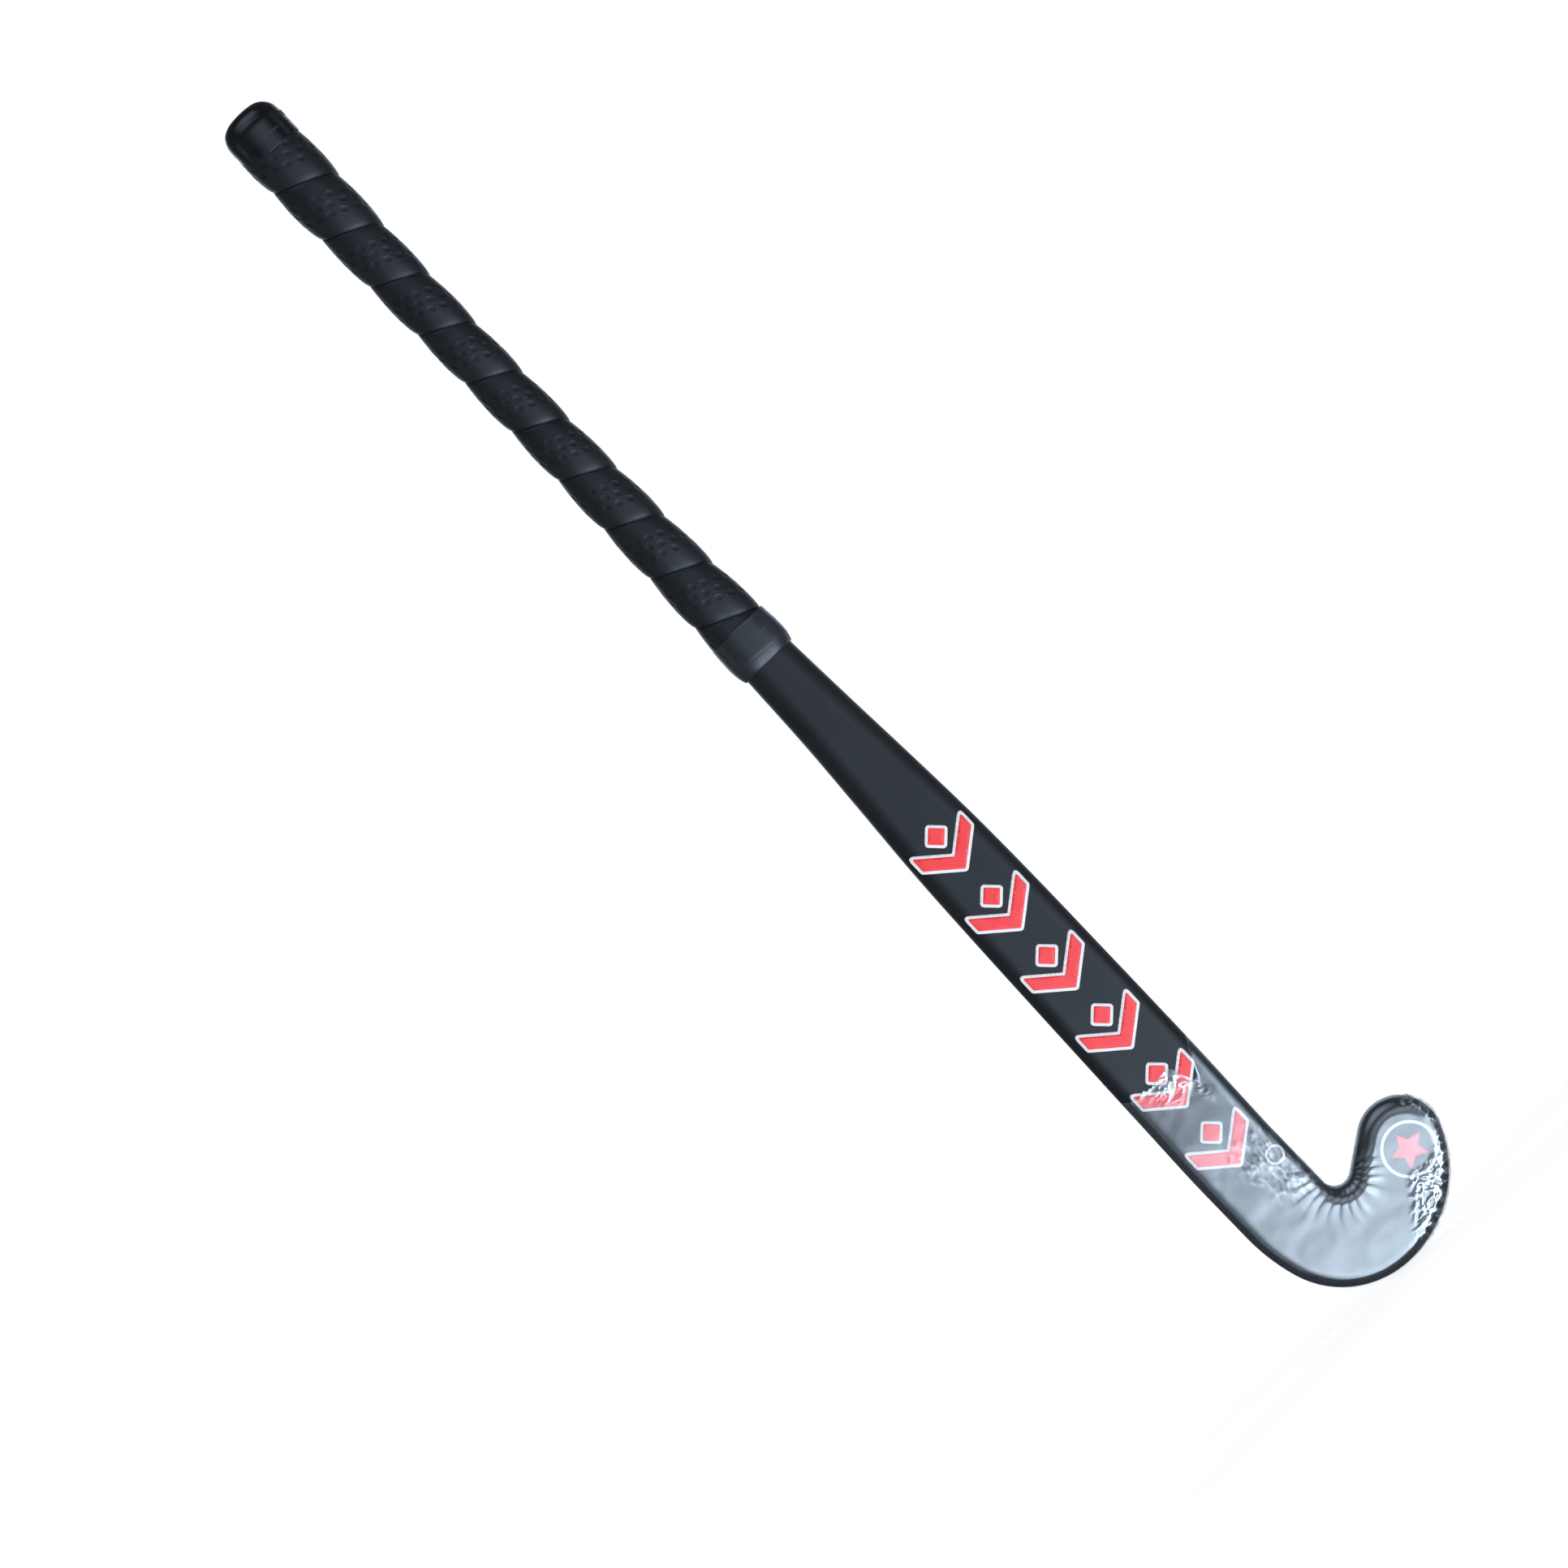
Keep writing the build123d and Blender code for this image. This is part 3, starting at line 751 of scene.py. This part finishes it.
# Where the film is folded: spokes round the throat, a pull along the inner edge, the crumpled rim of the
# toe, a patch under the top edge, a patch and streaks on the face, and the lip of the top edge.
across, up, back = film_grid[..., 0], film_grid[..., 1], film_grid[..., 2]
edge_gap = np.where(up >= HEAD_TOP, top_edge[None, :] - up, 99.0)
on_back, on_front = step(0, 7, back), step(0, 7, -back)
throat_gap = np.hypot(across - THROAT[0], up - THROAT[1])
throat_turn = np.arctan2(up - THROAT[1], across - THROAT[0])
spokes = np.abs(np.sin(throat_turn * 11 + 2.2 * wave(film_points, 55, 8))) ** 0.6
spoke_zone = step(34, 10, throat_gap) * (0.35 + 0.65 * step(-0.1, 0.35, wave(film_points, 38, 9)))
inner_pull = step(26, 8, np.abs(across + 14 - 0.25 * (up - 80))) * step(60, 80, up) * step(128, 108, up)
toe_gap = np.hypot(across - TOE_MIDDLE[0], up - TOE_MIDDLE[1])
toe_turn = np.arctan2(up - TOE_MIDDLE[1], across - TOE_MIDDLE[0])
toe_rim = step(16.5, 22.0, toe_gap) * step(-0.25, 0.35, -np.sin(toe_turn + 0.25) - np.cos(toe_turn) * 1.2)
patch = np.exp(-(((across - 3) / 9) ** 2) - ((edge_gap - 6) / 8) ** 2) * on_back
face_patch = np.exp(-(((across + 9) / 9) ** 2) - ((up - 98) / 17) ** 2) * on_front
face_streaks = np.exp(-(((across - 6) / 8) ** 2)) * step(40, 8, edge_gap) * on_front
lip = step(3.0, 0.0, edge_gap)
crumple = ridges(film_points, 210, 21)
creases = ridges(film_points * np.array([1, 1, 0.35]), 190, 31)
lift = 0.10 * wave(film_points, 48, 41) + 0.05 * wave(film_points, 120, 42)
lift += spoke_zone * 0.34 * spokes + inner_pull * 0.18 * creases
lift += toe_rim * 0.75 * crumple + patch * 0.95 * crumple + face_patch * 0.30 * creases
lift += face_streaks * 0.20 * creases + lip * 0.35 * (0.5 + wave(film_points, 160, 51))
lift = np.clip(lift, -0.06, 1.1)
film_points = film_points + film_normal * ((FILM_OUT + lift) * MM)[..., None]
rows, cols = film_points.shape[:2]
film_faces = grid_faces(rows, cols) + [tuple(range(cols - 1, -1, -1))]
film = new_piece("film", film_points.reshape(-1, 3), film_faces, FILM)
# Mask of the creases; the material makes the film more opaque there and gives it a light blue-grey painted
# reflection.
fold_sheen = toe_rim * step(0.25, 0.8, crumple) + patch * step(0.3, 0.8, crumple) * 0.9
fold_sheen += spoke_zone * 0.55 * step(0.75, 1.0, spokes) + inner_pull * 0.5 * step(0.5, 0.9, creases)
fold_sheen += face_streaks * 0.55 * step(0.5, 0.9, creases) + lip * 0.25 + face_patch * 0.15 * creases
attribute(film, "fold_sheen", np.clip(fold_sheen, 0, 1))
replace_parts(thicken(film, FILM_THICKNESS), "head_film")

# ---------------------------------------------------------------- padded grip, wound as one strip

PITCH, SEAM_START, STRIP_OUT = 37.4, 496.0, 0.62
TURNS = int((GRIP_HIGH - GRIP_LOW) / PITCH) + 4
HOLE_PITCH, HOLE_ROW_GAP, HOLE_DEPTH = 6.7, 5.8, 0.30
per_turn, across_count = 168, 66
turn = np.arange(TURNS * per_turn + 1) / per_turn * 2 * math.pi
share = np.linspace(-0.07, 1.0, across_count)
angle = np.repeat(-turn[:, None], across_count, 1)
grip_up = SEAM_START - 2 * PITCH + PITCH * turn[:, None] / (2 * math.pi) + PITCH * share[None, :]
share_grid = np.repeat(share[None, :], len(turn), 0)
bulge = 2.75 * np.sin(math.pi * np.clip(share_grid * 1.02, 0, 1) ** 0.62) ** 0.72
swell = STRIP_OUT + bulge * 0.78 + 0.55 * step(0.0, 1.0, share_grid)
swell = np.where(share_grid < 0.0, STRIP_OUT + share_grid * 5.0, swell)
rolled = step(1.0, 0.965, share_grid)
swell = swell - 0.35 * (1 - rolled)
arc = turn[:, None] * 15.2
hole = np.zeros_like(share_grid)
for row, row_shift in ((-1, 0.0), (0, 0.5), (1, 0.0)):
    offset = (arc / HOLE_PITCH + row_shift) % 1.0 - 0.5
    gap = np.hypot(offset * HOLE_PITCH, (share_grid - 0.52) * PITCH - row * HOLE_ROW_GAP)
    hole = np.maximum(hole, step(2.1, 1.2, gap))
    swell = swell + 0.07 * np.exp(-(((gap - 2.3) / 0.45) ** 2))
swell = swell - HOLE_DEPTH * hole
near_collar = step(GRIP_LOW + 52, GRIP_LOW + 22, grip_up)
swell = swell + 0.05 * near_collar * np.sin(share_grid * PITCH / 1.9 * 2 * math.pi)
rough_place = place(np.cos(angle) * 15, grip_up, np.sin(angle) * 15)
swell = swell + 0.10 * wave(rough_place, 42, 61)
grip_across, grip_back = polar(angle, grip_up, swell)
grip_points = place(grip_across, grip_up, grip_back)
strip_faces = grid_faces(len(turn), across_count, closed=False)
grip = new_piece("grip_wrap", grip_points.reshape(-1, 3), strip_faces, GRIP)
# Mask of the strip's edges where the turns meet; the material darkens them as painted shade in the gaps
# between turns.
seam_shade = step(0.035, 0.0, share_grid) + 0.55 * step(0.985, 1.0, share_grid)
attribute(grip, "seam_shade", np.clip(seam_shade, 0, 1))
attribute(grip, "hole", hole)


def trim(piece, low, high):
    """Cuts a handle piece off square at two heights."""
    bm = bmesh.new()
    bm.from_mesh(piece.data)
    for up_cut, way in ((low, -1), (high, 1)):
        spot = Vector(place(0, up_cut, 0))
        bmesh.ops.bisect_plane(
            bm,
            geom=bm.verts[:] + bm.edges[:] + bm.faces[:],
            plane_co=spot,
            plane_no=(0, 0, way),
            clear_outer=True,
        )
    bmesh.ops.delete(bm, geom=[v for v in bm.verts if not v.link_faces], context="VERTS")
    bm.to_mesh(piece.data)
    bm.free()


def face_outwards(piece):
    """Turns a handle piece's faces away from the handle's axis if they look at it."""
    mesh = piece.data
    total = 0.0
    for polygon in mesh.polygons:
        away = polygon.center - Vector((AXIS_X * MM, AXIS_Y * MM, polygon.center.z))
        total += polygon.area * polygon.normal.dot(away)
    if total < 0:
        mesh.flip_normals()


trim(grip, GRIP_LOW, GRIP_HIGH)
face_outwards(grip)
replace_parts(thicken(grip, GRIP_THICKNESS), "grip_tape")

# ---------------------------------------------------------------- collar and butt tapes

round_count = 220
theta = np.linspace(0, 2 * math.pi, round_count, endpoint=False)
circle = np.stack((np.cos(theta), np.sin(theta), 0 * theta), 1)
# The collar's profile: height, and how far out it lies there
profile = [
    (491.0, 0.06), (491.0, 0.55), (491.1, 0.85), (491.5, 1.1), (492.4, 1.5), (494.0, 2.05), (496.2, 2.6),
    (498.6, 2.98), (501.0, 3.2), (503.6, 3.32), (506.4, 3.36), (509.0, 3.32), (511.4, 3.25), (513.4, 3.2),
    (515.0, 3.16), (516.3, 3.1), (516.8, 2.9), (517.0, 2.5),
]
corners = np.arange(len(profile))
between = np.linspace(0, len(profile) - 1, 70)
profile_ups, profile_outs = (np.interp(between, corners, numbers) for numbers in zip(*profile))
collar_ups = np.repeat(profile_ups[:, None], round_count, 1)
collar_ups += 0.5 * wave(circle * 1.2, 1, 71)[None, :] * step(508, 516, collar_ups)
collar_outs = np.repeat(profile_outs[:, None], round_count, 1)
dents = place(np.cos(theta)[None, :] * 16, collar_ups, np.sin(theta)[None, :] * 16)
collar_outs += 0.22 * wave(dents, 60, 72) * step(0.3, 1.5, collar_outs)
wind = (collar_ups - COLLAR_LOW) / 9.0 + theta[None, :] / (2 * math.pi)
collar_outs += 0.10 * step(0.0, 0.08, wind % 1.0) * (1 - wind % 1.0) * step(0.5, 1.5, collar_outs)
collar_x, collar_y = polar(theta[None, :], collar_ups, collar_outs)
collar_points = place(collar_x, collar_ups, collar_y)
collar_faces = grid_faces(len(collar_ups), round_count)
collar = new_piece("collar_band", collar_points.reshape(-1, 3), collar_faces, COLLAR, sharp=50)
face_outwards(collar)
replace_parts(thicken(collar, COLLAR_THICKNESS), "collar_tape")

butt_rows = []
ragged = 1.1 * wave(circle * 1.6, 1, 81) + 0.7 * wave(circle * 6, 1, 82) + 0.4 * wave(circle * 17, 1, 83)
for k, height in enumerate(np.linspace(BUTT_LOW, DOME_START, 44)):
    low_share = 1 - k / 43
    butt_rows.append((height + ragged * low_share, np.full(round_count, BUTT_RADIUS)))
for k in range(1, 46):
    bend = k / 46 * math.pi / 2
    reach = BUTT_RADIUS * math.cos(bend) ** 0.60
    rise = DOME_START + (LENGTH - DOME_START) * math.sin(bend) ** 0.9
    butt_rows.append((np.full(round_count, rise), np.full(round_count, reach)))
butt_ups = np.array([r[0] for r in butt_rows])
butt_reach = np.array([r[1] for r in butt_rows])
grip_reach = np.hypot(*polar(theta[None, :], np.minimum(butt_ups, SHELL_TOP), 2.75))
blend = step(BUTT_LOW, BUTT_LOW + 9.0, butt_ups)
butt_reach = np.where(butt_ups < DOME_START, grip_reach * (1 - blend) + butt_reach * blend, butt_reach)
spots = place(np.cos(theta)[None, :] * butt_reach, butt_ups, np.sin(theta)[None, :] * butt_reach)
slant = (butt_ups - BUTT_LOW) / 12.0 + theta[None, :] / (2 * math.pi) + 0.05 * wave(spots, 150, 84)
lap = 0.16 * step(0.0, 0.03, slant % 1.0) * (1 - slant % 1.0)
pleats = np.abs(np.sin(theta * 4.5 + 1.1 * wave(circle * 2, 1, 85)))[None, :]
pleats = 0.20 * pleats * step(905, 911, butt_ups)
off_tip = step(0.0, 6.0, butt_reach)
butt_reach = butt_reach - 0.30 + (lap + 0.16 * wave(spots, 75, 86) - pleats) * off_tip
butt_points = place(np.cos(theta)[None, :] * butt_reach, butt_ups, np.sin(theta)[None, :] * butt_reach)
butt_faces = grid_faces(len(butt_rows), round_count)
butt_faces.append(tuple(range((len(butt_rows) - 1) * round_count, len(butt_rows) * round_count)))
butt = new_piece("butt_wrap", butt_points.reshape(-1, 3), butt_faces, BUTT)
face_outwards(butt)
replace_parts(thicken(butt, BUTT_THICKNESS), "butt_tape")

# ---------------------------------------------------------------- looks of the inner CAD nodes

nodes = frame["nodes"]
foam = foam_look("rigid_foam", (0.62, 0.55, 0.38), (0.80, 0.74, 0.55), 900, (0.75, 0.9))
underlay = foam_look("adhesive_underlay", (0.30, 0.30, 0.28), (0.42, 0.42, 0.40), 1400, (0.8, 0.95))
rib_look = tape_look("bare_composite", (0.012, 0.013, 0.015), (0.022, 0.024, 0.028), (0.45, 0.6), 0.6)
for name, look in (
    ("head_core", foam),
    ("shaft_core", foam),
    ("butt_plug", foam),
    ("grip_underlay", underlay),
    ("handle_rib", rib_look),
):
    nodes[name].data.materials.clear()
    nodes[name].data.materials.append(look)

for name in (
    "shell", "back_white", "back_red", "face_white", "face_red", "face_marks", "round_mark",
    "badge_ring", "badge_star", "film", "grip_wrap", "collar_band", "butt_wrap",
):
    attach(bpy.data.objects[name], "root")

# ---------------------------------------------------------------- floor, light and camera


def floor_look():
    """Pale floor that glows a little, more so away from the stick, so that it melts into the backdrop."""
    look = Look("pale_floor", Roughness=0.9, Emission_Color=(1, 1, 1, 1))
    look.colour(look.ramp(look.noise(3, 3), (0.3, (0.86, 0.86, 0.86)), (0.7, (0.90, 0.90, 0.90))))
    gap = look.add("ShaderNodeVectorMath", operation="LENGTH")
    look.link(look.coordinates, gap.inputs[0])
    glow = look.spread(gap.outputs["Value"], 0.70, 1.0, 0.20, 0.7)
    look.link(glow, look.shader.inputs["Emission Strength"])
    return look.material


FLOOR_HALF = 12.0
quarters = ((-1, -1), (1, -1), (1, 1), (-1, 1))
floor_corners = [(x * FLOOR_HALF, y * FLOOR_HALF, cad_box[0].z) for x, y in quarters]
floor_mesh = bpy.data.meshes.new("floor")
floor_mesh.from_pydata(floor_corners, [], [(0, 1, 2, 3)])
floor_mesh.materials.append(floor_look())
floor = bpy.data.objects.new("floor", floor_mesh)
bpy.context.scene.collection.objects.link(floor)
floor.visible_glossy = False
floor.visible_shadow = False

# The camera sees white behind the stick; everything else is lit by a dim bluish room.
world = bpy.data.worlds.new("studio")
bpy.context.scene.world = world
world.use_nodes = True
tree = world.node_tree
tree.nodes.clear()
seen = tree.nodes.new("ShaderNodeBackground")
seen.inputs["Color"].default_value = (1, 1, 1, 1)
seen.inputs["Strength"].default_value = 1.0
room = tree.nodes.new("ShaderNodeBackground")
room.inputs["Color"].default_value = (0.78, 0.88, 1.0, 1)
room.inputs["Strength"].default_value = 0.10
path = tree.nodes.new("ShaderNodeLightPath")
mixer = tree.nodes.new("ShaderNodeMixShader")
output = tree.nodes.new("ShaderNodeOutputWorld")
tree.links.new(path.outputs["Is Camera Ray"], mixer.inputs["Fac"])
tree.links.new(room.outputs[0], mixer.inputs[1])
tree.links.new(seen.outputs[0], mixer.inputs[2])
tree.links.new(mixer.outputs[0], output.inputs["Surface"])


def feather(lamp, edges):
    """Makes a lamp's panel fade to nothing over these shares of its width and height at each edge."""
    lamp.use_nodes = True
    nodes, links = lamp.node_tree.nodes, lamp.node_tree.links
    nodes.clear()
    spots = nodes.new("ShaderNodeSeparateXYZ")
    links.new(nodes.new("ShaderNodeNewGeometry").outputs["Parametric"], spots.inputs[0])
    product = nodes.new("ShaderNodeMath")
    product.operation = "MULTIPLY"
    for k, (axis, edge) in enumerate(zip("XY", edges)):
        off = nodes.new("ShaderNodeMath")
        off.operation = "SUBTRACT"
        off.inputs[1].default_value = 0.5
        links.new(spots.outputs[axis], off.inputs[0])
        size = nodes.new("ShaderNodeMath")
        size.operation = "ABSOLUTE"
        links.new(off.outputs[0], size.inputs[0])
        share = nodes.new("ShaderNodeMapRange")
        share.interpolation_type = "SMOOTHSTEP"
        for socket, number in zip(("From Min", "From Max", "To Min", "To Max"), (0.5, 0.5 - edge, 0.0, 1.0)):
            share.inputs[socket].default_value = number
        links.new(size.outputs[0], share.inputs["Value"])
        links.new(share.outputs["Result"], product.inputs[k])
    emission = nodes.new("ShaderNodeEmission")
    links.new(product.outputs[0], emission.inputs["Strength"])
    links.new(emission.outputs[0], nodes.new("ShaderNodeOutputLight").inputs["Surface"])


def softbox(name, spot, aim, width, height, radiance, mirrored, edges=(0.5, 0.5)):
    """A soft rectangular lamp. Mirrored ones fade to their edges and only show in glossy surfaces."""
    lamp = bpy.data.lights.new(name, "AREA")
    lamp.shape = "RECTANGLE"
    lamp.size, lamp.size_y = width, height
    lamp.energy = radiance * width * height * math.pi
    lamp.color = (0.68, 0.83, 1.0) if mirrored else (1.0, 0.99, 0.98)
    if mirrored:
        feather(lamp, edges)
    holder = bpy.data.objects.new(name, lamp)
    holder.location = spot
    holder.rotation_mode = "QUATERNION"
    holder.rotation_quaternion = (Vector(aim) - Vector(spot)).to_track_quat("-Z", "Y")
    holder.visible_camera = False
    holder.visible_glossy = mirrored
    holder.visible_diffuse = not mirrored
    bpy.context.scene.collection.objects.link(holder)


softbox("back_low", (-0.8, 2.6, -2.1), (-0.8, 0, -2.1), 8.0, 3.4, 8.2, True, edges=(0.5, 0.2))
softbox("back_high", (-1.3, 3.0, 0.60), (-1.3, 0, 0.60), 9.0, 3.4, 1.5, True)
softbox("face_high", (0.0, -2.6, 0.9), (0, 0, 0.3), 8.0, 2.4, 1.8, True)
softbox("heel_side", (3.4, 0.1, 0.7), (0, 0, 0.4), 2.2, 2.6, 0.5, True)
softbox("toe_side", (-3.4, 0.1, 0.7), (0, 0, 0.4), 2.2, 2.6, 0.5, True)
softbox("toe_quarter", (-4.2, 2.4, -0.6), (0, 0, 0.1), 3.6, 3.6, 1.6, True)
softbox("heel_quarter", (3.4, 2.3, -1.4), (0, 0, 0.1), 3.0, 3.0, 1.0, True)
softbox("face_quarter", (-2.4, -2.6, -1.1), (0, 0, 0.1), 3.6, 3.6, 1.5, True)
softbox("overhead", (0.0, 1.2, 3.0), (0, 0, 0), 6.0, 4.0, 1.6, True, edges=(0.5, 0.4))
for fill_x in (-2.3, 2.3):
    softbox("fill_back", (fill_x, 1.8, 0.6), (0, 0, 0.4), 1.6, 2.2, 2.7, False)
    softbox("fill_face", (fill_x, -1.9, 0.7), (0, 0, 0.4), 1.6, 2.2, 2.4, False)

camera_data = bpy.data.cameras.new("camera")
camera_data.sensor_width = 36.0
camera_data.lens = 200.0
VIEW_WIDTH = 0.8719  # metres that the picture spans at the stick
distance = VIEW_WIDTH * camera_data.lens / camera_data.sensor_width
camera = bpy.data.objects.new("camera", camera_data)
bpy.context.scene.collection.objects.link(camera)
centre = Vector((0.0715, 0.010, 0.4355))
right = Vector((-0.7187, 0.0, -0.6953)).normalized()
back_way = Vector((0.0, 1.0, 0.0))
up_way = back_way.cross(right)
turned = Matrix((right, up_way, back_way)).transposed().to_4x4()
camera.matrix_world = Matrix.Translation(centre + back_way * distance) @ turned
camera_data.clip_start, camera_data.clip_end = 0.1, 60.0
bpy.context.scene.camera = camera
bpy.context.scene.view_settings.view_transform = "Standard"
bpy.context.scene.view_settings.look = "None"
